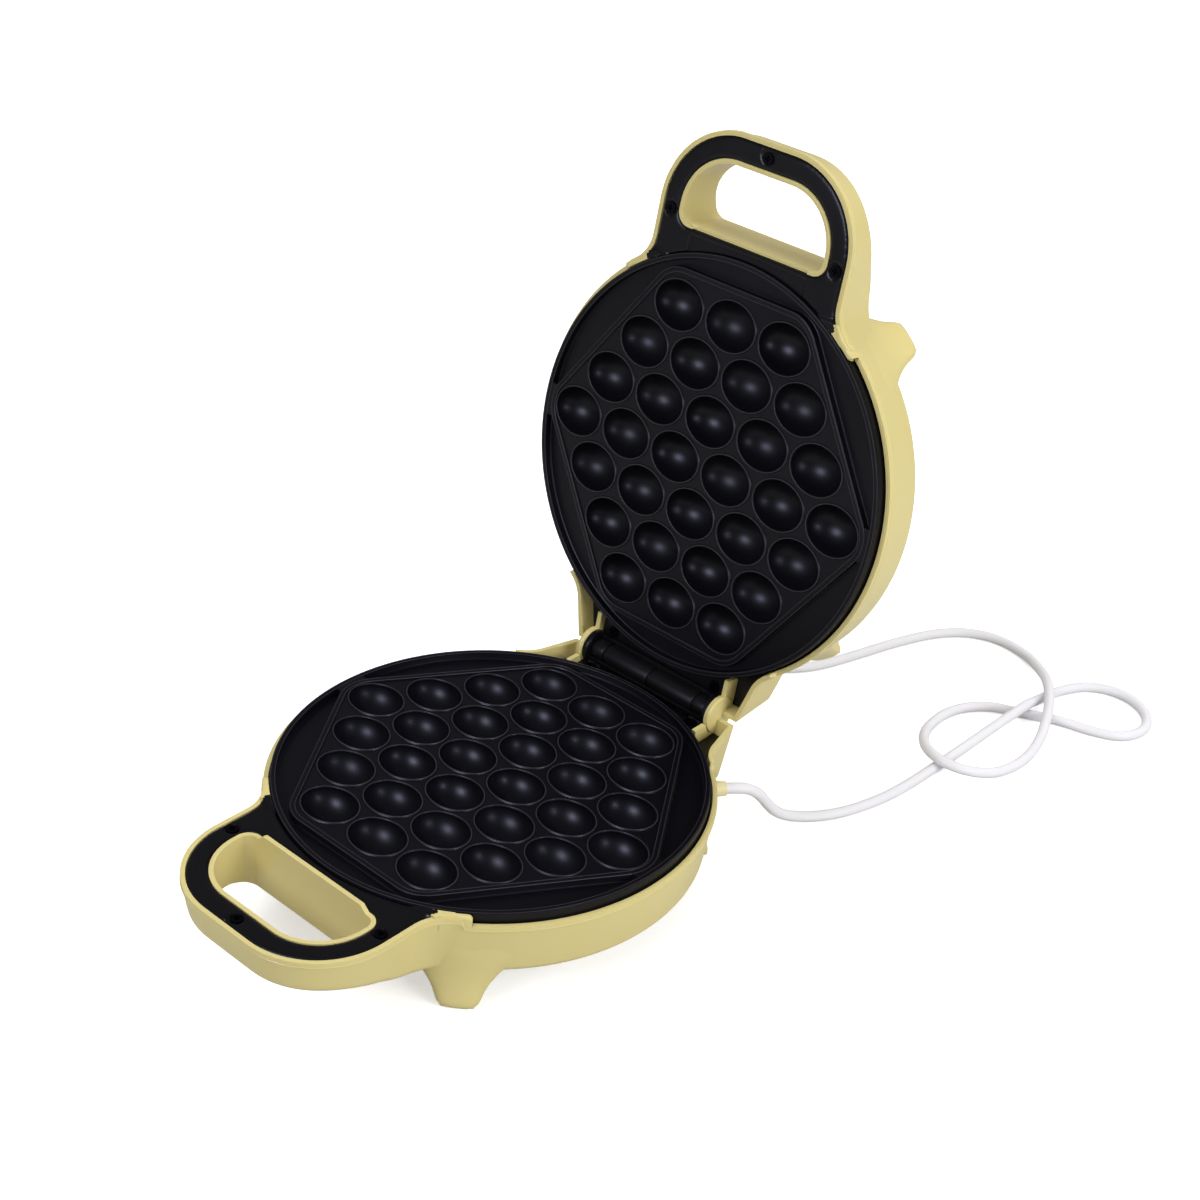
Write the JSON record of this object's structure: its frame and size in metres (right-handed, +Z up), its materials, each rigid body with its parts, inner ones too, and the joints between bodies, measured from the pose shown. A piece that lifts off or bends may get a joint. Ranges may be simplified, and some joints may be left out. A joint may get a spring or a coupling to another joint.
{
  "type": "egg waffle pan",
  "caption": "Electric bubble waffle maker, open: hinged round cast plates of egg-shaped cells in pale yellow housings with loop handles, feet and a mains cord.",
  "frame": {"origin": "on the table under the middle of the open pan, leaving out the cord and plug", "axes": "+X along the hinge pin, +Y from the base's handle towards the hinge and the open lid, +Z up"},
  "size_m": [0.3057, 0.5197, 0.3248],
  "materials": {
    "yellow_plastic": "glossy moulded, pale yellow",
    "black_plastic": "fine satin, black",
    "coated_plate": "satin black non-stick coating on cast aluminium",
    "screw_steel": "blackened",
    "heater_steel": "dull oxidised sheath",
    "sheet_metal": "mill finish",
    "bright_steel": "nickel plated",
    "white_rubber": "soft satin, white",
    "cream_plastic": "satin, cream",
    "lens_plastic": "clear tinted",
    "lamp_glass": "clear"
  },
  "bodies": {
    "base": {"lower_housing": "yellow_plastic", "lower_frame": "black_plastic", "lower_plate": "coated_plate", "lower_plate_screws": "bright_steel", "lower_handle_screws": "screw_steel", "lower_hinge_screws": "screw_steel", "lower_heating_element": "heater_steel", "lower_reflector": "sheet_metal", "lower_reflector_screws": "bright_steel", "lower_thermostat": "sheet_metal", "lower_thermal_fuse": "sheet_metal", "hinge_pin": "bright_steel", "terminal_block": "cream_plastic", "strain_relief": "yellow_plastic", "cord": "white_rubber", "plug": "white_rubber", "plug_pins": "bright_steel"},
    "lid": {"upper_housing": "yellow_plastic", "upper_frame": "black_plastic", "upper_plate": "coated_plate", "upper_plate_screws": "bright_steel", "upper_handle_screws": "screw_steel", "upper_hinge_screws": "screw_steel", "upper_heating_element": "heater_steel", "upper_reflector": "sheet_metal", "upper_reflector_screws": "bright_steel", "upper_thermostat": "sheet_metal", "upper_thermal_fuse": "sheet_metal", "indicator_lenses": "lens_plastic", "indicator_lamps": "lamp_glass"}
  },
  "joints": [
    {"name": "lid_hinge", "type": "hinge", "parent": "base", "child": "lid", "pos_m": [0, 0.09237, 0.054], "axis": [1, 0, 0], "range_deg": [0, 101]}
  ]
}
